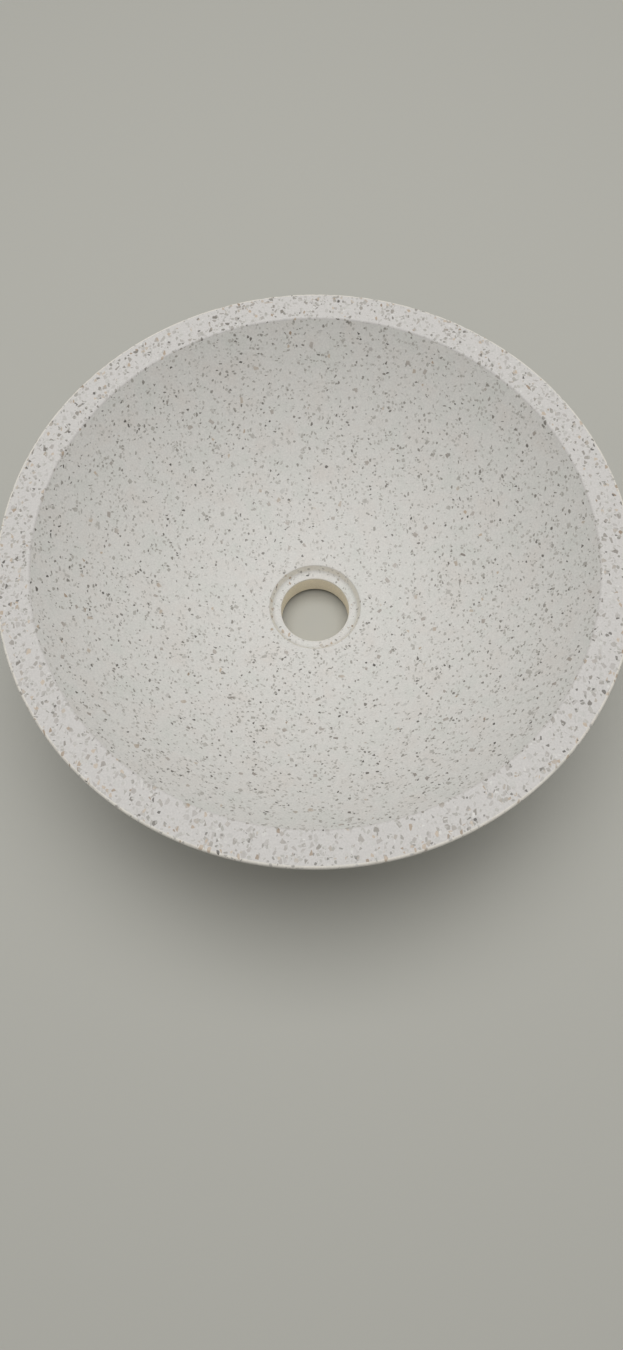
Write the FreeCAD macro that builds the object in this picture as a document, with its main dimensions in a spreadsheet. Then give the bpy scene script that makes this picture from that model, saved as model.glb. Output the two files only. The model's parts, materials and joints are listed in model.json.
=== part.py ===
import FreeCAD, Part
import math
import os
import random

import Sketcher

# A round vessel washbasin, cast in one piece from terrazzo: a white cement casting that holds
# crushed stones ground flush with its surface. The basin stands on its foot, on the plane z = 0,
# and the axis of its rim, bowl and drain hole is Z.

# Driving dimensions, in millimetres unless the note says otherwise.
driving_sizes = [
    ("basin_height", 120, "foot to the flat top of the rim"),
    ("rim_outer_radius", 200, "outside of the rim"),
    ("rim_width", 21, "flat top of the rim, edge to edge"),
    ("rim_land", 4, "upright band below the outer edge of the rim"),
    ("rim_outer_edge", 1.5, "rounding of the outer edge of the rim"),
    ("rim_inner_edge", 2.5, "rounding of the inner edge of the rim"),
    ("bowl_radius", 215, "spherical radius of the bowl's floor"),
    ("bowl_bend", 100, "ring where the floor of the bowl turns into its flank"),
    ("foot_radius", 65, "outside of the ring that the basin stands on"),
    ("foot_width", 12, "width of that ring"),
    ("recess_depth", 3, "hollow underside inside the foot ring"),
    ("hole_radius", 25, "drain hole"),
    ("hole_length", 18, "drain hole, from the underside to the rebate's floor"),
    ("hole_edge", 0.8, "rounding of both edges of the drain hole"),
    ("rebate_radius", 33.5, "rebate round the drain hole, where it opens into the bowl"),
    ("rebate_cove", 3.5, "hollow corner between the rebate's floor and its wall"),
    ("rebate_slope", 62, "rise of the rebate's wall above the level, in degrees"),
    ("rebate_depth", 3, "rebate's floor, below the lowest point of the bowl's sphere"),
    ("stone_length", 3.4, "mean coarse stone, longest way"),
    ("stone_width", 2.6, "mean coarse stone, middle way"),
    ("stone_thickness", 2.3, "mean coarse stone, shortest way"),
    ("stone_gap", 0.6, "least cement between two coarse stones"),
    ("ground_edge", 2.5, "band beside an edge that holds the centre of no stone"),
    ("ground_stones", 17, "coarse stones per square decimetre on the ground rim and bowl"),
    ("cast_stones", 5, "coarse stones per square decimetre on the outside, left as cast"),
]

# Share of the coarse stones that has each colour.
stone_shares = {
    "stone_chips_grey": 0.42,
    "stone_chips_taupe": 0.27,
    "stone_chips_tan": 0.12,
    "stone_chips_pale": 0.12,
    "stone_chips_dark": 0.07,
}

stone_seed = 20
stone_spread = (0.7, 1.25)  # a stone's own size, as a share of the mean stone
stone_taper = (0.35, 1.0)  # its far face, as a share of its near face
stone_sink = (0.0, 0.15)  # how far its centre lies under the surface, as a share of its length
square_decimetre = 100.0 ** 2
rounded_share = 0.9  # most of a flat that the rounding of its edge takes up
halvings = 40  # steps that find the slope below which a given area of a turned arc lies

doc = FreeCAD.newDocument("washbasin")


# The sheet of driving dimensions

sheet = doc.addObject("Spreadsheet::Sheet", "Sizes")
for row, (alias, value, note) in enumerate(driving_sizes, start=1):
    sheet.set(f"A{row}", str(value))
    sheet.setAlias(f"A{row}", alias)
    sheet.set(f"B{row}", note)
doc.recompute()


def size(alias):
    return float(sheet.get(alias))


# Helpers for sketches and features

def origin_plane(body, role):
    return next(plane for plane in body.Origin.OriginFeatures if plane.Role == role)


def new_sketch(body, name, role):
    sketch = body.newObject("Sketcher::SketchObject", name)
    sketch.AttachmentSupport = [(origin_plane(body, role), "")]
    sketch.MapMode = "FlatFace"
    return sketch


def bind(sketch, constraint, name, expression):
    index = sketch.addConstraint(constraint)
    sketch.renameConstraint(index, name)
    sketch.setExpression(f"Constraints.{name}", expression)


def join_ends(sketch, pairs):
    for (first, first_end), (second, second_end) in pairs:
        sketch.addConstraint(Sketcher.Constraint("Coincident", first, first_end, second, second_end))


def line(start, end):
    return Part.LineSegment(FreeCAD.Vector(*start, 0), FreeCAD.Vector(*end, 0))


def arc(centre, radius, start_angle, end_angle):
    circle = Part.Circle(FreeCAD.Vector(*centre, 0), FreeCAD.Vector(0, 0, 1), radius)
    return Part.ArcOfCircle(circle, start_angle, end_angle)


def round_edges(body, base, name, expression, circles):
    doc.recompute()
    tolerance = 1e-4
    names = []
    for number, edge in enumerate(base.Shape.Edges, start=1):
        if not isinstance(edge.Curve, Part.Circle):
            continue
        found = (edge.Curve.Radius, edge.Curve.Center.z)
        if any(math.dist(found, circle) < tolerance for circle in circles):
            names.append(f"Edge{number}")
    assert len(names) == len(circles), f"{name}: {len(names)} edges found for {len(circles)} circles"
    fillet = body.newObject("PartDesign::Fillet", name)
    fillet.Base = (base, names)
    fillet.setExpression("Radius", expression)
    return fillet


# Places worked out from the driving dimensions

rim_height = size("basin_height")
rim_outer = size("rim_outer_radius")
rim_inner = rim_outer - size("rim_width")
land_height = rim_height - size("rim_land")
foot_radius = size("foot_radius")
wall_centre = (land_height ** 2 + rim_outer ** 2 - foot_radius ** 2) / (2 * land_height)
wall_radius = math.hypot(foot_radius, wall_centre)
hole_radius = size("hole_radius")
underside = size("recess_depth")
seat_height = underside + size("hole_length")
rebate_radius = size("rebate_radius")
cove = size("rebate_cove")

# The bowl's floor is part of a sphere. Its flank is an arc that leaves the floor without a crease
# and ends at the inner edge of the rim.
bowl_radius = size("bowl_radius")
bowl_floor = seat_height + size("rebate_depth")
bowl_centre = bowl_floor + bowl_radius
bend_ring = size("bowl_bend")
bend_height = bowl_centre - math.sqrt(bowl_radius ** 2 - bend_ring ** 2)
inward = (-bend_ring / bowl_radius, (bowl_centre - bend_height) / bowl_radius)
flank_chord = (rim_inner - bend_ring, rim_height - bend_height)
flank_radius = math.hypot(*flank_chord) ** 2 / (2 * math.sumprod(flank_chord, inward))
flank_centre = (bend_ring + flank_radius * inward[0], bend_height + flank_radius * inward[1])

# The rebate's wall slopes from its floor up to the bowl. The floor ends where the hollow corner starts.
rebate_slope = math.radians(size("rebate_slope"))
rebate_lip = bowl_centre - math.sqrt(bowl_radius ** 2 - rebate_radius ** 2)
rebate_reach = (rebate_lip - seat_height) / math.tan(rebate_slope)
seat_end = rebate_radius - rebate_reach - cove * math.tan(rebate_slope / 2)
lip_rise_expression = ("(Sizes.rebate_depth + Sizes.bowl_radius"
                       " - sqrt(Sizes.bowl_radius ^ 2 - Sizes.rebate_radius ^ 2))")
slope_expression = "(Sizes.rebate_slope * 1 deg)"
seat_expression = "(Sizes.recess_depth + Sizes.hole_length)"
reach_expression = f"({lip_rise_expression} / tan({slope_expression}))"
seat_end_expression = (f"(Sizes.rebate_radius - {reach_expression}"
                       f" - Sizes.rebate_cove * tan({slope_expression} / 2))")


# The casting: half of its section, turned about the axis

def add_section(body):
    sketch = new_sketch(body, "section", "XZ_Plane")
    bend = math.atan2(bend_height - bowl_centre, bend_ring)
    flank_end = math.atan2(rim_height - flank_centre[1], rim_inner - flank_centre[0])
    wall_start = math.atan2(-wall_centre, foot_radius)
    wall_end = math.atan2(land_height - wall_centre, rim_outer)
    bowl, flank, rim, land, wall, base, axis = sketch.addGeometry([
        arc((0, bowl_centre), bowl_radius, -math.pi / 2, bend),
        arc(flank_centre, flank_radius, bend, flank_end),
        line((rim_inner, rim_height), (rim_outer, rim_height)),
        line((rim_outer, rim_height), (rim_outer, land_height)),
        arc((0, wall_centre), wall_radius, wall_start, wall_end),
        line((foot_radius, 0), (0, 0)),
        line((0, 0), (0, bowl_floor)),
    ])
    join_ends(sketch, [
        ((flank, 2), (rim, 1)), ((rim, 2), (land, 1)), ((land, 2), (wall, 2)),
        ((wall, 1), (base, 1)), ((base, 2), (axis, 1)), ((axis, 2), (bowl, 1)),
        ((base, 2), (-1, 1)),
    ])
    for flat in (rim, base):
        sketch.addConstraint(Sketcher.Constraint("Horizontal", flat))
    for upright in (land, axis):
        sketch.addConstraint(Sketcher.Constraint("Vertical", upright))
    for curve in (bowl, wall):
        sketch.addConstraint(Sketcher.Constraint("PointOnObject", curve, 3, -2))
    rule = Sketcher.Constraint
    sketch.addConstraint(rule("Tangent", bowl, 2, flank, 1))
    rim_width = rim_outer - rim_inner
    land_width = rim_height - land_height
    floor_expression = "Sizes.recess_depth + Sizes.hole_length + Sizes.rebate_depth"
    bind(sketch, rule("Radius", bowl, bowl_radius), "bowl_radius", "Sizes.bowl_radius")
    bind(sketch, rule("DistanceX", -1, 1, bowl, 2, bend_ring), "bend", "Sizes.bowl_bend")
    bind(sketch, rule("DistanceY", -1, 1, bowl, 1, bowl_floor), "floor", floor_expression)
    bind(sketch, rule("DistanceX", -1, 1, rim, 2, rim_outer), "rim_outer", "Sizes.rim_outer_radius")
    bind(sketch, rule("DistanceX", rim, 1, rim, 2, rim_width), "rim_width", "Sizes.rim_width")
    bind(sketch, rule("DistanceY", -1, 1, rim, 2, rim_height), "height", "Sizes.basin_height")
    bind(sketch, rule("DistanceY", land, 2, land, 1, land_width), "land", "Sizes.rim_land")
    bind(sketch, rule("DistanceX", -1, 1, base, 1, foot_radius), "foot", "Sizes.foot_radius")
    turned = body.newObject("PartDesign::Revolution", "turned_bowl")
    turned.Profile = sketch
    turned.ReferenceAxis = (sketch, ["V_Axis"])
    turned.Angle = 360
    return turned


# The rebate round the drain: a flat seat, a hollow corner and a sloping wall, open upwards into the bowl

def add_rebate(body):
    sketch = new_sketch(body, "rebate_section", "XZ_Plane")
    hollow_reach, hollow_rise = cove * math.sin(rebate_slope), cove * (1 - math.cos(rebate_slope))
    wall_start = (seat_end + hollow_reach, seat_height + hollow_rise)
    mouth_radius = rebate_radius + (rim_height - rebate_lip) / math.tan(rebate_slope)
    seat, hollow, wall, top, axis = sketch.addGeometry([
        line((0, seat_height), (seat_end, seat_height)),
        arc((seat_end, seat_height + cove), cove, -math.pi / 2, rebate_slope - math.pi / 2),
        line(wall_start, (mouth_radius, rim_height)),
        line((mouth_radius, rim_height), (0, rim_height)),
        line((0, rim_height), (0, seat_height)),
    ])
    join_ends(sketch, [((wall, 2), (top, 1)), ((top, 2), (axis, 1)), ((axis, 2), (seat, 1))])
    for first, first_end, second, second_end in ((seat, 2, hollow, 1), (hollow, 2, wall, 1)):
        sketch.addConstraint(Sketcher.Constraint("Tangent", first, first_end, second, second_end))
    for flat in (seat, top):
        sketch.addConstraint(Sketcher.Constraint("Horizontal", flat))
    sketch.addConstraint(Sketcher.Constraint("PointOnObject", seat, 1, -2))
    sketch.addConstraint(Sketcher.Constraint("PointOnObject", top, 2, -2))
    rule = Sketcher.Constraint
    bind(sketch, rule("Radius", hollow, cove), "cove", "Sizes.rebate_cove")
    bind(sketch, rule("Angle", wall, rebate_slope), "slope", slope_expression)
    bind(sketch, rule("DistanceX", -1, 1, seat, 2, seat_end), "seat_end", seat_end_expression)
    bind(sketch, rule("DistanceY", -1, 1, seat, 1, seat_height), "seat", seat_expression)
    bind(sketch, rule("DistanceY", -1, 1, top, 1, rim_height), "mouth", "Sizes.basin_height")
    groove = body.newObject("PartDesign::Groove", "rebate")
    groove.Profile = sketch
    groove.ReferenceAxis = (sketch, ["V_Axis"])
    groove.Angle = 360
    return groove


# A round cut from the floor plane upwards, as deep as given or right through

def add_round_cut(body, name, radius, radius_expression, depth_expression=None):
    sketch = new_sketch(body, f"{name}_circle", "XY_Plane")
    circle = Part.Circle(FreeCAD.Vector(0, 0, 0), FreeCAD.Vector(0, 0, 1), radius)
    ring = sketch.addGeometry(circle)
    sketch.addConstraint(Sketcher.Constraint("Coincident", ring, 3, -1, 1))
    bind(sketch, Sketcher.Constraint("Radius", ring, radius), "radius", radius_expression)
    pocket = body.newObject("PartDesign::Pocket", name)
    pocket.Profile = sketch
    pocket.Reversed = True
    if depth_expression is None:
        pocket.Type = "ThroughAll"
    else:
        pocket.setExpression("Length", depth_expression)
    return pocket


def make_casting():
    body = doc.addObject("PartDesign::Body", "casting")
    turned = add_section(body)
    doc.recompute()
    volumes = [turned.Shape.Volume]
    rebate = add_rebate(body)
    doc.recompute()
    volumes.append(rebate.Shape.Volume)
    recess = add_round_cut(body, "recess", foot_radius - size("foot_width"),
                           "Sizes.foot_radius - Sizes.foot_width", "Sizes.recess_depth")
    doc.recompute()
    volumes.append(recess.Shape.Volume)
    hole = add_round_cut(body, "drain_hole", hole_radius, "Sizes.hole_radius")
    doc.recompute()
    volumes.append(hole.Shape.Volume)
    assert volumes == sorted(volumes, reverse=True) and len(set(volumes)) == len(volumes), "a cut missed"
    hole_edges = [(hole_radius, underside), (hole_radius, seat_height)]
    hole_rounding = f"min(Sizes.hole_edge; {rounded_share} * ({seat_end_expression} - Sizes.hole_radius))"
    outer_edge = [(rim_outer, rim_height)]
    inner_edge = [(rim_inner, rim_height)]
    rounded = round_edges(body, hole, "hole_edges", hole_rounding, hole_edges)
    rounded = round_edges(body, rounded, "rim_outer_edge", "Sizes.rim_outer_edge", outer_edge)
    round_edges(body, rounded, "rim_inner_edge", "Sizes.rim_inner_edge", inner_edge)
    doc.recompute()
    return body


# Where stones may lie. Each surface gives its area, and for a share of that area and an angle
# a place on it with the direction that points out of the cement.

def ring_point(radius, angle, height):
    return FreeCAD.Vector(radius * math.cos(angle), radius * math.sin(angle), height)


def rim_surface():
    inner = (rim_inner + size("ground_edge")) ** 2
    outer = (rim_outer - size("ground_edge")) ** 2

    def place(share, angle):
        radius = math.sqrt(inner + share * (outer - inner))
        return ring_point(radius, angle, rim_height), FreeCAD.Vector(0, 0, 1)

    return math.pi * (outer - inner), place


def turned_arc(centre, radius, low_ring, high_ring, facing):
    centre_ring, centre_height = centre
    low = -math.acos((low_ring - centre_ring) / radius)
    high = -math.acos((high_ring - centre_ring) / radius)

    def swept_area(slope):
        return 2 * math.pi * radius * (centre_ring * slope + radius * math.sin(slope))

    def place(share, angle):
        wanted = swept_area(low) + share * (swept_area(high) - swept_area(low))
        below, above = low, high
        for _ in range(halvings):
            slope = (below + above) / 2
            if swept_area(slope) < wanted:
                below = slope
            else:
                above = slope
        point = ring_point(centre_ring + radius * math.cos(slope), angle,
                           centre_height + radius * math.sin(slope))
        return point, ring_point(math.cos(slope), angle, math.sin(slope)) * facing

    return swept_area(high) - swept_area(low), place


def bowl_floor_surface():
    return turned_arc((0, bowl_centre), bowl_radius, rebate_radius + size("ground_edge"), bend_ring, -1)


def bowl_flank_surface():
    return turned_arc(flank_centre, flank_radius, bend_ring, rim_inner - size("ground_edge"), -1)


def wall_surface():
    low_ring = foot_radius + size("ground_edge")
    high_ring = rim_outer - size("ground_edge")
    return turned_arc((0, wall_centre), wall_radius, low_ring, high_ring, 1)


# The coarse stones: tapered blocks turned at random, scattered so that none meets another

stone_size = [size("stone_length"), size("stone_width"), size("stone_thickness")]
stone_reach = stone_spread[1] * math.hypot(*stone_size)  # corner to corner of the largest stone
stone_distance = stone_reach + size("stone_gap")


def scattered_places(rng):
    surfaces = [
        (rim_surface(), size("ground_stones")),
        (bowl_floor_surface(), size("ground_stones")),
        (bowl_flank_surface(), size("ground_stones")),
        (wall_surface(), size("cast_stones")),
    ]
    taken = []
    for (area, place), density in surfaces:
        for _ in range(round(area / square_decimetre * density)):
            point, outward = place(rng.random(), rng.uniform(0, 2 * math.pi))
            if all(point.distanceToPoint(other) > stone_distance for other, _ in taken):
                taken.append((point, outward))
    return taken


def add_stone(number, point, outward, rng):
    stone = doc.addObject("Part::Wedge", f"stone_{number}")
    spans = {"X": "stone_length", "Y": "stone_width", "Z": "stone_thickness"}
    for way, alias in spans.items():
        half = rng.uniform(*stone_spread) / 2
        stone.setExpression(f"{way}min", f"-{half:.3f} * Sizes.{alias}")
        stone.setExpression(f"{way}max", f"{half:.3f} * Sizes.{alias}")
        if way == "Y":
            continue
        for end, sign in (("min", "-"), ("max", "")):
            far_half = half * rng.uniform(*stone_taper)
            stone.setExpression(f"{way}2{end}", f"{sign}{far_half:.3f} * Sizes.{alias}")
    turn = FreeCAD.Rotation(rng.uniform(0, 360), rng.uniform(0, 360), rng.uniform(0, 360))
    sunk = rng.uniform(*stone_sink) * size("stone_length")
    stone.Placement = FreeCAD.Placement(point - outward * sunk, turn)
    return stone


def make_stones(rng):
    colours = list(stone_shares)
    shares = list(stone_shares.values())
    by_colour = {colour: [] for colour in colours}
    for number, (point, outward) in enumerate(scattered_places(rng), start=1):
        colour = rng.choices(colours, shares)[0]
        by_colour[colour].append(add_stone(number, point, outward, rng))
    groups = {}
    for colour, stones in by_colour.items():
        group = doc.addObject("Part::Compound", f"{colour}_blocks")
        group.Links = stones
        groups[colour] = group
    doc.recompute()
    return groups


# The sub-parts: the casting with a pocket for every stone, and the stones ground flush with it

def make_parts():
    casting = make_casting()
    groups = make_stones(random.Random(stone_seed))
    pockets = doc.addObject("Part::Compound", "stone_pockets")
    pockets.Links = list(groups.values())
    basin = doc.addObject("Part::Cut", "basin")
    basin.Base = casting
    basin.Tool = pockets
    basin.Label = "basin_body"
    parts = [basin]
    for colour, group in groups.items():
        ground = doc.addObject("Part::Common", f"{colour}_ground")
        ground.Base = group
        ground.Tool = casting
        ground.Label = colour
        parts.append(ground)
    doc.recompute()
    return parts, groups


def check(parts, groups):
    for item in doc.Objects:
        assert "Invalid" not in item.State and "Error" not in item.State, f"{item.Name}: {item.State}"
    for part in parts:
        shape = part.Shape
        assert not shape.isNull() and shape.isValid(), f"{part.Label}: bad shape"
        wanted = len(groups[part.Label].Links) if part.Label in groups else 1
        assert len(shape.Solids) == wanted, f"{part.Label}: {len(shape.Solids)} solids, not {wanted}"


def write(parts):
    os.makedirs("parts", exist_ok=True)
    for part in parts:
        part.Shape.exportStep(f"parts/{part.Label}.step")
        print(f"{part.Label}: {len(part.Shape.Solids)} solids, {part.Shape.Volume / 1000:.2f} cm3")


parts, groups = make_parts()
check(parts, groups)
write(parts)
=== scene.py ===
import json
import math

import bpy
import numpy as np
from mathutils import Matrix, Vector


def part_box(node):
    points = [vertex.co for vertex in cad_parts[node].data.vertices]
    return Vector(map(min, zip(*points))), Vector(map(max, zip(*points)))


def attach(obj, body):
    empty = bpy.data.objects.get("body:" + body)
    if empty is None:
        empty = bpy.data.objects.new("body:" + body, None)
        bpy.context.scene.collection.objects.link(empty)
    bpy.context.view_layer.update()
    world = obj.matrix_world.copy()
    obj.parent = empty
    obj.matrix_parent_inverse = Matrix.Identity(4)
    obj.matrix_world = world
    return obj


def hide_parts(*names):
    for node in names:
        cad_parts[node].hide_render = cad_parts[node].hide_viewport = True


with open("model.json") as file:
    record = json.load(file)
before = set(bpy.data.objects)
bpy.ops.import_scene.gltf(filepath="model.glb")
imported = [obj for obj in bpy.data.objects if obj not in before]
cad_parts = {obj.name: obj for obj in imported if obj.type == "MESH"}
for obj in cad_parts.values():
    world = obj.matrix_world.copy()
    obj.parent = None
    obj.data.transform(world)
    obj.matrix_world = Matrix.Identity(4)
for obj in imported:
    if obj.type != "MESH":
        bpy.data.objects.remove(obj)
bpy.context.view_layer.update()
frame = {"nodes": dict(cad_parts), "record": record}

scene = bpy.context.scene
scene.view_settings.view_transform = "Standard"
mounts = {mount["name"]: mount for mount in frame["record"]["mounts"]}
millimetre = 0.001


# Colours are written as they look on a screen, 0 to 255, and go to the shaders as linear light
def screenColour(red, green, blue):
    level = np.array([red, green, blue]) / 255
    linear = np.where(level < 0.04045, level / 12.92, ((level + 0.055) / 1.055) ** 2.4)
    return (*linear.tolist(), 1.0)


# The casting, a section turned about the axis. Lengths are in metres
casting = {
    "rimWidth": 0.021,
    "rimLand": 0.004,  # upright band under the rim's outer edge
    "outerEdge": 0.0015,  # rounding of the rim's outer edge
    "outerBand": 0.004,  # strip of the rim's top beside its outer edge, rich in warm stone
    "innerEdge": 0.0025,  # rounding of the rim's inner edge
    "floorRadius": 0.215,  # sphere of the bowl's floor
    "bendRing": 0.100,  # ring where the floor turns into the flank
    "rebateDepth": 0.003,
    "rebateRadius": 0.0335,
    "rebateSlope": math.radians(62),  # rise of its wall above the level
    "cove": 0.0035,  # hollow corner between its floor and its wall
    "lip": 0.0008,  # rubbed edge between its wall and the bowl
    "arris": 0.0006,  # roundings of the lesser edges
    "holeEdge": 0.0008,
    "recess": 0.003,  # hollow underside inside the foot ring
    "footRadius": 0.065,
    "footWidth": 0.012,
    "sunk": 0.00005,  # cement under the ground faces of the stones
    "guard": 0.0003,  # a point this close to a bend keeps the flat beside it flat
    "turns": 800,  # steps round the axis
    "seed": 7,
    "nickCount": 90,  # small breaks along the rim's outer edge
    "nickDepth": (0.00015, 0.0006),
    "nickWidth": (0.0008, 0.0020),
    "nickReach": 0.0009,  # how far a nick runs over the edge, up or down
    "wobble": 0.00022,  # hand-ground unevenness of the rim's inner edge
    "wobbleReach": 0.003,
    "wobbleWaves": (5, 39),  # fewest and most waves round the rim
    "castSwell": 0.00018,  # soft unevenness of the outside, left as cast
    "swellWaves": (3, 5, 8, 13),
}

# How much fine stone, coarse stone, warm stone and skin of the mould each part of the surface shows: the bowl
# and the rim are ground, and the bore, the outside and the foot are left as cast. The coarse stone's share
# also draws painted shade, darker and greyer cement, on the rim; the skin is drawn lighter and warmer, partly
# painted light
shownNames = ("fineShown", "coarseShown", "warmShown", "skinShown")
shownOn = {
    "bore": (0.0, 0.0, 0.0, 1.0),
    "holeLip": (0.0, 0.0, 0.0, 0.15),
    "seat": (0.7, 0.0, 0.5, 0.0),
    "cove": (0.7, 0.0, 0.6, 0.0),
    "wall": (0.7, 0.0, 0.6, 0.25),
    "bowl": (1.0, 0.03, 0.02, 0.0),
    "rim": (1.05, 1.45, 0.3, 0.0),
    "rimOuter": (1.05, 1.45, 1.0, 0.0),
    "arris": (0.5, 0.2, 0.7, 0.25),
    "outside": (0.45, 0.15, 0.4, 0.12),
    "foot": (0.3, 0.0, 0.0, 0.4),
}


# A run's points, as shares of its length: evenly spaced, with one point close to either end.
# The end itself is left to the next run
def runShares(length, steps, guard):
    near = guard / length
    return np.concatenate([[0.0], np.linspace(near, 1 - near, steps)])


# Points on the straight line between two corners of the section
def lineRun(start, end, steps):
    start, end = np.array(start), np.array(end)
    shares = runShares(np.linalg.norm(end - start), steps, casting["guard"])
    return start + shares[:, None] * (end - start)


# Points on a circle: the centre plus the radius times cosine and sine of an angle that runs evenly.
# A small rounding needs no points close to its ends
def arcRun(centre, radius, startAngle, endAngle, steps, guarded=False):
    shares = np.arange(steps) / steps
    if guarded:
        shares = runShares(radius * abs(endAngle - startAngle), steps, casting["guard"])
    angle = startAngle + shares * (endAngle - startAngle)
    return np.array(centre) + radius * np.column_stack([np.cos(angle), np.sin(angle)])


# The angle at which a point lies, seen from a centre
def bearing(centre, point):
    return math.atan2(point[1] - centre[1], point[0] - centre[0])


# The point of a circle's lower half at a distance from the axis: below its centre, which is on the axis,
# by the root of the radius squared less that distance squared
def lowPoint(centre, radius, distance):
    return np.array([distance, centre[1] - math.sqrt(radius ** 2 - distance ** 2)])


# The whole section, a closed line of (distance from the axis, height), from the drain hole's upper edge
# over the rebate, bowl, rim, outside and foot back up the hole. The flank's arc is tangent to the floor's
# circle at the bend, so its radius is the chord squared over twice the chord's rise along the inward normal
def castingSection(size):
    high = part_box("basin_body")[1]
    rimTop, rimOuter = high.z, high.x
    rimInner = rimOuter - size["rimWidth"]
    hole = mounts["waste_hole"]["dims"]["r_mm"] * millimetre
    seat = mounts["waste_seat"]["pos_m"][2]
    down, left, up, right = -math.pi / 2, math.pi, math.pi / 2, 0.0
    edge, arris, holeEdge = size["innerEdge"], size["arris"], size["holeEdge"]

    # Bowl: its floor's circle, the flank and the rim's inner edge
    floorRadius = size["floorRadius"]
    floorCentre = np.array([0.0, seat + size["rebateDepth"] + floorRadius])
    bend = lowPoint(floorCentre, floorRadius, size["bendRing"])
    inward = (floorCentre - bend) / floorRadius
    chord = np.array([rimInner, rimTop]) - bend
    flankRadius = chord @ chord / (2 * chord @ inward)
    flankCentre = bend + flankRadius * inward
    flankStart = bearing(floorCentre, bend)
    edgeHeight = rimTop - edge
    edgeReach = math.sqrt((flankRadius + edge) ** 2 - (edgeHeight - flankCentre[1]) ** 2)
    edgeCentre = (flankCentre[0] + edgeReach, edgeHeight)

    # Rebate: its level seat, hollow corner, sloping wall and rubbed lip
    slope, cove, lip = size["rebateSlope"], size["cove"], size["lip"]
    lipEnd = lowPoint(floorCentre, floorRadius, size["rebateRadius"])
    seatEnd = lipEnd[0] - (lipEnd[1] - seat) / math.tan(slope) - cove * math.tan(slope / 2)
    coveCentre = np.array([seatEnd, seat + cove])
    coveEnd = coveCentre + cove * np.array([math.sin(slope), -math.cos(slope)])
    lipNormal = (floorCentre - lipEnd) / floorRadius
    wallNormal = np.array([-math.sin(slope), math.cos(slope)])
    lipCentre = lipEnd - lip * (lipNormal + wallNormal) / (1 + lipNormal @ wallNormal)
    lipTurn = bearing(lipCentre, floorCentre)

    # Outside: the rim's outer edge, the circle down to the foot, and the hollow underside
    outerCentre = (rimOuter - size["outerEdge"], rimTop - size["outerEdge"])
    bandStart = outerCentre[0] - size["outerBand"]
    landEnd = (rimOuter, rimTop - size["rimLand"])
    foot, recess = size["footRadius"], size["recess"]
    recessRing = foot - size["footWidth"]
    outsideHeight = (landEnd[1] ** 2 + rimOuter ** 2 - foot ** 2) / (2 * landEnd[1])
    outsideCentre = (0.0, outsideHeight)
    outsideRadius = math.hypot(foot, outsideHeight)
    outsideStart = bearing(outsideCentre, landEnd)
    outsideEnd = bearing(outsideCentre, (foot, 0.0))

    runs = [
        ("holeLip", arcRun((hole + holeEdge, seat - holeEdge), holeEdge, left, up, steps=4)),
        ("seat", lineRun((hole + holeEdge, seat), (seatEnd, seat), steps=2)),
        ("cove", arcRun(coveCentre, cove, down, down + slope, steps=5)),
        ("wall", lineRun(coveEnd, lipCentre + lip * wallNormal, steps=3)),
        ("cove", arcRun(lipCentre, lip, up + slope, lipTurn, steps=4)),
        ("bowl", arcRun(floorCentre, floorRadius, bearing(floorCentre, lipCentre), flankStart,
                        steps=14, guarded=True)),
        ("bowl", arcRun(flankCentre, flankRadius, flankStart, bearing(flankCentre, edgeCentre),
                        steps=20, guarded=True)),
        ("rim", arcRun(edgeCentre, edge, bearing(edgeCentre, flankCentre), up, steps=6)),
        ("rim", lineRun((edgeCentre[0], rimTop), (bandStart, rimTop), steps=4)),
        ("rimOuter", lineRun((bandStart, rimTop), (outerCentre[0], rimTop), steps=2)),
        ("arris", arcRun(outerCentre, size["outerEdge"], up, right, steps=6)),
        ("outside", lineRun((rimOuter, outerCentre[1]), landEnd, steps=2)),
        ("outside", arcRun(outsideCentre, outsideRadius, outsideStart, outsideEnd, steps=22, guarded=True)),
        ("foot", lineRun((foot, 0.0), (recessRing + arris, 0.0), steps=2)),
        ("foot", arcRun((recessRing + arris, arris), arris, down, -left, steps=3)),
        ("foot", arcRun((recessRing - arris, recess - arris), arris, right, up, steps=3)),
        ("foot", lineRun((recessRing - arris, recess), (hole + holeEdge, recess), steps=2)),
        ("bore", arcRun((hole + holeEdge, recess + holeEdge), holeEdge, down, -left, steps=3)),
        ("bore", lineRun((hole, recess + holeEdge), (hole, seat - holeEdge), steps=2)),
    ]
    points = np.concatenate([run for _, run in runs])
    zones = np.concatenate([np.full(len(run), zone) for zone, run in runs])
    marks = {"outerEdge": (rimOuter, rimTop), "innerEdge": (rimInner, rimTop)}
    return points, zones, marks


# The section's outward normals: each point's neighbours give its direction, turned a quarter to the left
def sectionNormals(points):
    along = np.roll(points, -1, axis=0) - np.roll(points, 1, axis=0)
    normals = np.column_stack([-along[:, 1], along[:, 0]])
    return normals / np.linalg.norm(normals, axis=1, keepdims=True)


# How strongly a point of the section belongs to an edge: a bell curve of its distance from it
def edgeWeight(points, mark, reach):
    distance = np.linalg.norm(points - np.array(mark), axis=1)
    return np.exp(-(distance / reach) ** 2)


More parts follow.
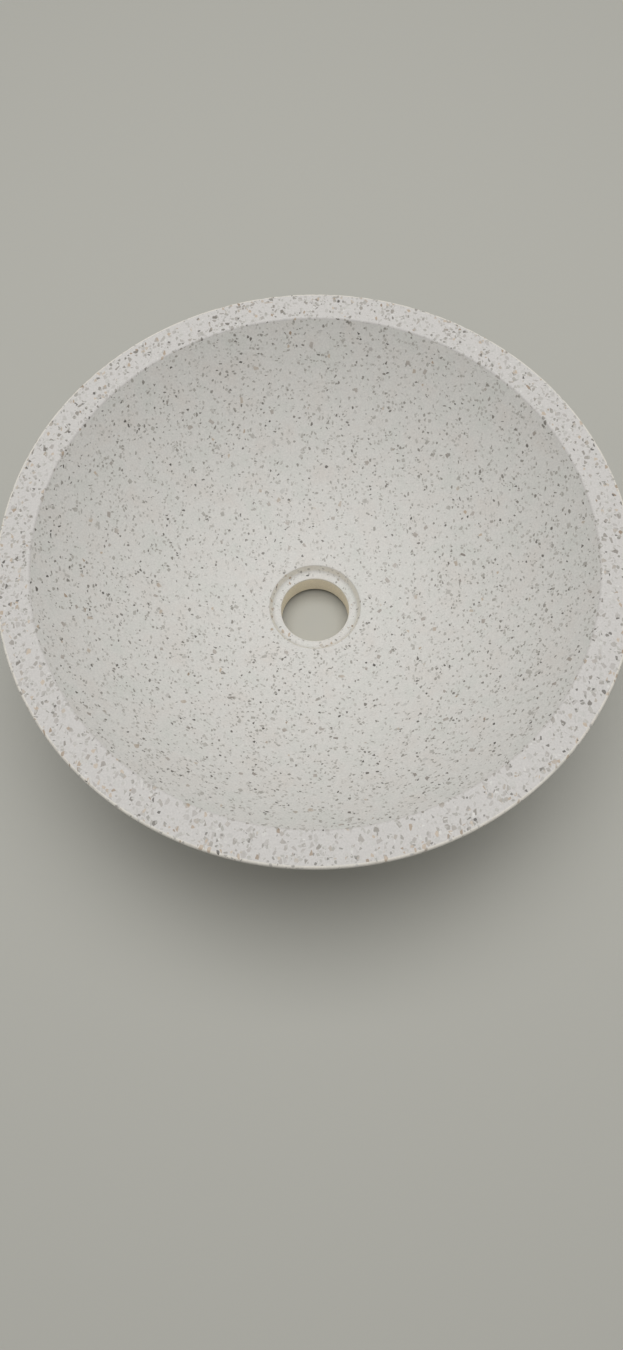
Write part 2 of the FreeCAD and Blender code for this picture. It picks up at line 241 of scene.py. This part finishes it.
# The casting's surface: the section at every step of the angle, each point moved along its normal by
# nicks on the outer edge, a wobble of the inner edge and the swell of the outside. The grid closes both ways
def castingGrid(size):
    rng = np.random.default_rng(size["seed"])
    points, zones, marks = castingSection(size)
    normals = sectionNormals(points)
    turns, fullTurn = size["turns"], 2 * math.pi
    angle = np.arange(turns) * (fullTurn / turns)

    # Nicks: each a bell curve of the angle from its centre, and the deepest one counts
    centres = rng.uniform(0, fullTurn, size["nickCount"])
    depths = rng.uniform(*size["nickDepth"], size["nickCount"])
    widths = rng.uniform(*size["nickWidth"], size["nickCount"]) / marks["outerEdge"][0]
    apart = np.angle(np.exp(1j * (angle[:, None] - centres)))
    nicks = (depths * np.exp(-(apart / widths) ** 2)).max(axis=1)

    # Wobble: a sum of sines round the rim, each weaker by the root of its count of waves
    fewest, most = size["wobbleWaves"]
    waves = np.arange(fewest, most + 1)
    phases = rng.uniform(0, fullTurn, len(waves))
    wobble = (np.sin(angle[:, None] * waves + phases) / np.sqrt(waves)).sum(axis=1)
    wobble *= size["wobble"] / np.abs(wobble).max()

    # Swell: the mean of sines that wind round the outside and up it, none at its top and foot
    outside = np.where(zones == "outside", 1.0, 0.0)
    height = points[:, 1] / marks["outerEdge"][1]
    swellWaves = np.array(size["swellWaves"])[:, None, None]
    swellPhases = rng.uniform(0, fullTurn, swellWaves.shape)
    ring, rise = angle[None, None, :], height[None, :, None]
    swell = np.sin(swellWaves * ring + 2 * swellWaves * rise + swellPhases).mean(axis=0)

    moved = -size["sunk"] * np.ones((len(points), turns))
    moved -= edgeWeight(points, marks["outerEdge"], size["nickReach"])[:, None] * nicks
    moved -= edgeWeight(points, marks["innerEdge"], size["wobbleReach"])[:, None] * wobble
    moved += size["castSwell"] * (outside * np.sin(np.clip(height, 0, 1) * math.pi))[:, None] * swell
    radius = points[:, :1] + moved * normals[:, :1]
    level = points[:, 1:] + moved * normals[:, 1:]
    grid = np.stack([radius * np.cos(angle), radius * np.sin(angle), level], axis=-1)
    return grid, np.repeat(zones[:, None], turns, axis=1)


# A mesh of four-cornered faces over a grid that closes in both directions
def closedGridMesh(name, grid):
    rows, columns = grid.shape[:2]
    index = np.arange(rows * columns).reshape(rows, columns)
    nextRow = np.roll(index, -1, axis=0)
    corners = np.stack([index, nextRow, np.roll(nextRow, -1, axis=1), np.roll(index, -1, axis=1)], axis=-1)
    mesh = bpy.data.meshes.new(name)
    mesh.vertices.add(index.size)
    mesh.vertices.foreach_set("co", grid.astype(np.float32).ravel())
    mesh.loops.add(corners.size)
    mesh.loops.foreach_set("vertex_index", corners.astype(np.int32).ravel())
    mesh.polygons.add(index.size)
    mesh.polygons.foreach_set("loop_start", np.arange(0, corners.size, 4, dtype=np.int32))
    mesh.update(calc_edges=True)
    mesh.validate()
    mesh.shade_smooth()
    return mesh


def makeCasting():
    grid, zones = castingGrid(casting)
    mesh = closedGridMesh("terrazzo_casting", grid)
    inZone = [zones == zone for zone in shownOn]
    for name, shares in zip(shownNames, zip(*shownOn.values())):
        level = np.select(inZone, list(shares))
        attribute = mesh.attributes.new(name, "FLOAT", "POINT")
        attribute.data.foreach_set("value", level.astype(np.float32).ravel())
    piece = bpy.data.objects.new("terrazzo_casting", mesh)
    scene.collection.objects.link(piece)
    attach(piece, "root")
    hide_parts("basin_body")
    print("casting:", len(mesh.vertices), "points")
    return piece


# Node trees: a node with its settings and sockets, where a socket takes a value or a link
def setSocket(tree, socket, value):
    if isinstance(value, bpy.types.NodeSocket):
        tree.links.new(value, socket)
    else:
        socket.default_value = value


def addNode(tree, kind, settings=None, **sockets):
    node = tree.nodes.new(kind)
    for name, value in (settings or {}).items():
        setattr(node, name, value)
    for name, value in sockets.items():
        setSocket(tree, node.inputs[name], value)
    return node


def calculate(tree, operation, first, second):
    node = addNode(tree, "ShaderNodeMath", {"operation": operation})
    setSocket(tree, node.inputs[0], first)
    setSocket(tree, node.inputs[1], second)
    return node.outputs[0]


def calculateVector(tree, operation, *values):
    node = addNode(tree, "ShaderNodeVectorMath", {"operation": operation})
    for socket, value in zip(node.inputs, values):
        setSocket(tree, socket, value)
    return node.outputs[0]


def blendColours(tree, factor, below, above):
    node = addNode(tree, "ShaderNodeMix", {"data_type": "RGBA"})
    setSocket(tree, node.inputs[0], factor)
    setSocket(tree, node.inputs[6], below)  # the node's two colour sockets
    setSocket(tree, node.inputs[7], above)
    return node.outputs[2]


def rampColours(tree, factor, stops):
    node = addNode(tree, "ShaderNodeValToRGB", Fac=factor)
    elements = node.color_ramp.elements  # a new ramp has two
    for place, _ in stops[2:]:
        elements.new(place)
    for element, (place, colour) in zip(elements, stops):
        element.position = place
        element.color = screenColour(*colour)
    return node.outputs["Color"]


def rampLevels(tree, value, lowest, highest, fromLow=0.0, fromHigh=1.0):
    node = addNode(tree, "ShaderNodeMapRange")
    setSocket(tree, node.inputs[0], value)
    for socket, number in zip(node.inputs[1:5], (fromLow, fromHigh, lowest, highest)):
        socket.default_value = number
    return node.outputs[0]


def objectCoords(tree):
    return addNode(tree, "ShaderNodeTexCoord").outputs["Object"]


def readAttribute(tree, name):
    return addNode(tree, "ShaderNodeAttribute", {"attribute_name": name}).outputs["Fac"]


# A fine grain on a colour: noise that makes it a little lighter and darker. Gives the noise too
def grainedColour(tree, coords, colour, look):
    grain = addNode(tree, "ShaderNodeTexNoise", Vector=coords, Scale=look["grainScale"], Detail=2.0)
    tone = rampLevels(tree, grain.outputs["Fac"], *look["grainTone"], *look["grainSpan"])
    toned = addNode(tree, "ShaderNodeVectorMath", {"operation": "SCALE"}, Scale=tone)
    setSocket(tree, toned.inputs[0], colour)
    return toned.outputs[0], grain.outputs["Fac"]


def addRelief(tree, surface, height, look):
    bump = addNode(tree, "ShaderNodeBump", Height=height,
                   Strength=look["bumpStrength"], Distance=look["bump"])
    setSocket(tree, surface.inputs["Normal"], bump.outputs[0])


def newFinish(name):
    material = bpy.data.materials.new(name)
    material.use_nodes = True
    tree = material.node_tree
    return material, tree, tree.nodes["Principled BSDF"]


# Terrazzo: white cement with crushed stone in four gradings. A grading is a field of angular cells in space,
# cut open by the surface. A share of its cells are stones, each a little smaller than its cell.
# Sizes are in metres, and a scale is a noise's waves to the metre
terrazzo = {
    "cement": [(0.3, (201, 201, 195)), (0.5, (206, 204, 199)), (0.7, (204, 200, 194))],  # its soft clouding
    "cloudScale": 45.0,
    "deepCement": (198, 195, 191),  # painted shade: the cement drawn darker and greyer where coarse stone shows most, on the rim
    "castSkin": (244, 234, 212),  # smooth skin left by the mould, drawn lighter and warmer partly as painted light in the bore and warm bounce
    "roughness": (0.42, 0.56),  # stone, cement
    "gradings": [
        {"size": 0.0029, "share": 0.24, "gap": 0.14, "stretch": (1.0, 0.8, 1.2), "turn": (0.4, 0.9, 0.2),
         "shown": "coarseShown", "colours": "greyStone"},
        {"size": 0.0028, "share": 0.16, "gap": 0.13, "stretch": (1.2, 0.9, 0.9), "turn": (0.9, 2.1, 0.6),
         "shown": "warmShown", "colours": "warmStone"},
        {"size": 0.0022, "share": 0.18, "gap": 0.15, "stretch": (1.25, 0.8, 1.0), "turn": (1.1, 0.3, 0.8),
         "shown": "fineShown", "colours": "fineStone"},
        {"size": 0.0018, "share": 0.19, "gap": 0.15, "stretch": (0.8, 1.0, 1.25), "turn": (0.2, 1.4, 2.0),
         "shown": "fineShown", "colours": "fineStone"},
    ],
    "softEdge": 0.3,  # share of its gap over which a stone's edge fades, each way
    "greyStone": [
        (0.00, (108, 104, 98)),
        (0.04, (140, 135, 127)),
        (0.10, (150, 145, 138)),
        (0.25, (162, 157, 150)),
        (0.29, (170, 162, 151)),
        (0.33, (165, 160, 154)),
        (0.60, (177, 173, 168)),
        (1.00, (190, 188, 183)),
    ],
    "fineStone": [
        (0.00, (84, 81, 76)),
        (0.04, (114, 110, 104)),
        (0.10, (141, 138, 131)),
        (0.22, (160, 157, 150)),
        (0.40, (172, 169, 162)),
        (0.60, (181, 178, 172)),
        (0.86, (192, 190, 184)),
        (1.00, (209, 207, 202)),
    ],
    "warmStone": [
        (0.00, (146, 130, 113)),
        (0.35, (176, 160, 142)),
        (0.70, (190, 177, 161)),
        (1.00, (176, 169, 159)),
    ],
    "speckSize": 0.0026,  # spacing of the dark specks
    "speckShare": 0.012,
    "speckReach": 0.11,
    "speckColour": (62, 58, 54),
    "waver": 0.00016,  # how far a stone's outline strays from its straight facets
    "waverScale": 700.0,
    "grainScale": 850.0,
    "grainTone": (0.93, 1.07),  # darkest and lightest, as shares of the colour
    "grainSpan": (0.3, 0.7),  # the noise levels that give these
    "bump": 0.00004,
    "bumpStrength": 0.35,
}


# Coordinates that stray: each is moved by noise less its mean, so a stone's outline isn't quite straight
def strayingCoords(tree, coords, look):
    noise = addNode(tree, "ShaderNodeTexNoise", Vector=coords, Scale=look["waverScale"], Detail=1.0)
    centred = calculateVector(tree, "SUBTRACT", noise.outputs["Color"], (0.5, 0.5, 0.5))
    return calculateVector(tree, "MULTIPLY_ADD", centred, (look["waver"] * 2,) * 3, coords)


# The cement: softly clouded, with painted shade that makes it darker and greyer on the rim, where coarse
# stone shows most, under the mould's skin where that is left, a skin drawn lighter and warmer partly as
# painted light
def cementColour(tree, coords, look):
    cloud = addNode(tree, "ShaderNodeTexNoise", Vector=coords,
                    Scale=look["cloudScale"], Detail=4.0, Roughness=0.6)
    clouded = rampColours(tree, cloud.outputs["Fac"], look["cement"])
    rimShadeShare, skinAndLight = readAttribute(tree, "coarseShown"), readAttribute(tree, "skinShown")
    # Painted shade: where coarse stone shows most, on the rim, the cement is drawn darker and greyer
    ground = blendColours(tree, rimShadeShare, clouded, screenColour(*look["deepCement"]))
    # Partly painted light: the mould's skin is drawn lighter and warmer for light in the bore and warm bounce
    # from the floor
    return blendColours(tree, skinAndLight, ground, screenColour(*look["castSkin"]))


# One grading: where its stones are (0 or 1) and what colour each has
def stoneGrading(tree, coords, look, grading):
    turned = addNode(tree, "ShaderNodeMapping", Vector=coords,
                     Rotation=grading["turn"], Scale=grading["stretch"])
    field = {"Vector": turned.outputs[0], "Scale": 1 / grading["size"]}
    cells = addNode(tree, "ShaderNodeTexVoronoi", {"feature": "F1"}, **field)
    edges = addNode(tree, "ShaderNodeTexVoronoi", {"feature": "DISTANCE_TO_EDGE"}, **field)
    chance = addNode(tree, "ShaderNodeSeparateColor", Color=cells.outputs["Color"])
    limit = calculate(tree, "MULTIPLY", readAttribute(tree, grading["shown"]), grading["share"])
    chosen = calculate(tree, "LESS_THAN", chance.outputs["Red"], limit)
    gap, soft = grading["gap"], look["softEdge"]
    inside = rampLevels(tree, edges.outputs["Distance"], 0.0, 1.0, gap * (1 - soft), gap * (1 + soft))
    mask = calculate(tree, "MULTIPLY", chosen, inside)
    return mask, rampColours(tree, chance.outputs["Green"], look[grading["colours"]])


# Dark specks: small round spots in the middle of a few cells (0 or 1)
def darkSpecks(tree, coords, look):
    perMetre = 1 / look["speckSize"]
    cells = addNode(tree, "ShaderNodeTexVoronoi", {"feature": "F1"}, Vector=coords, Scale=perMetre)
    chance = addNode(tree, "ShaderNodeSeparateColor", Color=cells.outputs["Color"])
    near = calculate(tree, "LESS_THAN", cells.outputs["Distance"], look["speckReach"])
    chosen = calculate(tree, "LESS_THAN", chance.outputs["Blue"], look["speckShare"])
    return calculate(tree, "MULTIPLY", near, chosen)


def terrazzoFinish(look):
    material, tree, surface = newFinish("terrazzo")
    coords = objectCoords(tree)
    strayed = strayingCoords(tree, coords, look)
    colour = cementColour(tree, coords, look)
    stones = 0.0
    for grading in look["gradings"]:
        mask, tint = stoneGrading(tree, strayed, look, grading)
        colour = blendColours(tree, mask, colour, tint)
        stones = calculate(tree, "MAXIMUM", stones, mask)
    specks = darkSpecks(tree, coords, look)
    colour = blendColours(tree, specks, colour, screenColour(*look["speckColour"]))
    colour, grain = grainedColour(tree, coords, colour, look)
    setSocket(tree, surface.inputs["Base Color"], colour)
    stoneGloss, cementGloss = look["roughness"]
    setSocket(tree, surface.inputs["Roughness"], rampLevels(tree, stones, cementGloss, stoneGloss))
    raised = calculate(tree, "ADD", stones, grain)
    addRelief(tree, surface, calculate(tree, "SUBTRACT", raised, specks), look)
    return material


# The coarse stones are solids of the frame. Each colour of stone has its own finish: stone, veins, roughness
coarseStones = {
    "finishes": {
        "stone_chips_grey": ((163, 160, 153), (186, 183, 177), 0.40),
        "stone_chips_taupe": ((157, 150, 142), (182, 176, 169), 0.40),
        "stone_chips_tan": ((171, 159, 145), (191, 183, 173), 0.42),
        "stone_chips_pale": ((188, 186, 181), (199, 197, 192), 0.44),
        "stone_chips_dark": ((130, 124, 117), (160, 154, 147), 0.36),
    },
    "veinScale": 95.0,
    "veinSpan": (0.35, 0.68),  # the noise levels between which stone turns to vein
    "grainScale": 2200.0,
    "grainTone": (0.88, 1.10),
    "grainSpan": (0.3, 0.7),
    "bump": 0.00003,
    "bumpStrength": 0.3,
}


def stoneFinish(name, look):
    material, tree, surface = newFinish(name)
    stone, veins, roughness = look["finishes"][name]
    coords = objectCoords(tree)
    noise = addNode(tree, "ShaderNodeTexNoise", Vector=coords,
                    Scale=look["veinScale"], Detail=3.0, Roughness=0.65)
    veined = rampLevels(tree, noise.outputs["Fac"], 0.0, 1.0, *look["veinSpan"])
    colour = blendColours(tree, veined, screenColour(*stone), screenColour(*veins))
    colour, grain = grainedColour(tree, coords, colour, look)
    setSocket(tree, surface.inputs["Base Color"], colour)
    setSocket(tree, surface.inputs["Roughness"], roughness)
    addRelief(tree, surface, grain, look)
    return material


# The floor: a large flat square a hair under the foot
floorLook = {"colour": (176, 175, 167), "half": 30.0, "drop": 0.0001, "roughness": 0.6}


def makeFloor(look):
    half, level = look["half"], -look["drop"]
    mesh = bpy.data.meshes.new("studio_floor")
    mesh.from_pydata([(-half, -half, level), (half, -half, level), (half, half, level), (-half, half, level)],
                     [], [(0, 1, 2, 3)])
    material, tree, surface = newFinish("pale_floor")
    setSocket(tree, surface.inputs["Base Color"], screenColour(*look["colour"]))
    setSocket(tree, surface.inputs["Roughness"], look["roughness"])
    mesh.materials.append(material)
    floor = bpy.data.objects.new("studio_floor", mesh)
    scene.collection.objects.link(floor)


# Light: an even sky and one large softbox above, towards the far side
studio = {
    "sky": 0.36,  # strength of the light from all round
    "skyColour": (1.0, 1.0, 1.0),
    "backdrop": (206, 205, 201),  # what the camera and reflections see of the sky
    "boxPlace": (0.0, 0.35, 1.9),
    "boxAim": (0.0, 0.0, 0.1),
    "boxSize": (1.8, 1.4),
    "boxPower": 26.2,  # watts
}


def makeLight(look):
    world = bpy.data.worlds.new("studio_sky")
    world.use_nodes = True
    scene.world = world
    tree = world.node_tree
    sky = tree.nodes["Background"]
    setSocket(tree, sky.inputs["Color"], (*look["skyColour"], 1.0))
    setSocket(tree, sky.inputs["Strength"], look["sky"])
    backdrop = addNode(tree, "ShaderNodeBackground", Color=screenColour(*look["backdrop"]))
    rays = addNode(tree, "ShaderNodeLightPath").outputs
    seen = calculate(tree, "MAXIMUM", rays["Is Camera Ray"], rays["Is Transmission Ray"])
    seen = calculate(tree, "MAXIMUM", seen, rays["Is Glossy Ray"])
    mixed = addNode(tree, "ShaderNodeMixShader")
    for socket, value in zip(mixed.inputs, (seen, sky.outputs[0], backdrop.outputs[0])):
        setSocket(tree, socket, value)
    setSocket(tree, tree.nodes["World Output"].inputs["Surface"], mixed.outputs[0])

    lamp = bpy.data.lights.new("softbox", "AREA")
    lamp.shape = "RECTANGLE"
    lamp.size, lamp.size_y = look["boxSize"]
    lamp.energy = look["boxPower"]
    box = bpy.data.objects.new("softbox", lamp)
    scene.collection.objects.link(box)
    box.location = look["boxPlace"]
    aim = Vector(look["boxAim"]) - Vector(look["boxPlace"])
    box.rotation_euler = aim.to_track_quat("-Z", "Y").to_euler()


# The camera looks steeply down from the near side. A tilt of 0 would look straight down
viewpoint = {
    "place": (0.0, -0.2552, 0.5890),
    "heading": math.radians(0.8256),
    "tilt": math.radians(19.724),
    "roll": math.radians(-1.290),
    "lens": 22.4,  # millimetres, as the film is
    "film": 36.0,
    "nearest": 0.01,  # what is closer isn't drawn
}


def makeCamera(look):
    camera = bpy.data.cameras.new("photo_view")
    camera.sensor_width = look["film"]
    camera.lens = look["lens"]
    camera.clip_start = look["nearest"]
    holder = bpy.data.objects.new("photo_view", camera)
    scene.collection.objects.link(holder)
    turn = (Matrix.Rotation(look["heading"], 4, "Z") @ Matrix.Rotation(look["tilt"], 4, "X")
            @ Matrix.Rotation(look["roll"], 4, "Z"))
    holder.matrix_world = Matrix.Translation(look["place"]) @ turn
    scene.camera = holder


basin = makeCasting()
basin.data.materials.append(terrazzoFinish(terrazzo))
for nodeName in coarseStones["finishes"]:
    frame["nodes"][nodeName].material_slots[0].material = stoneFinish(nodeName, coarseStones)
print("finishes: terrazzo and", len(coarseStones["finishes"]), "stones")
makeFloor(floorLook)
makeLight(studio)
makeCamera(viewpoint)
print("floor, light and camera: done")
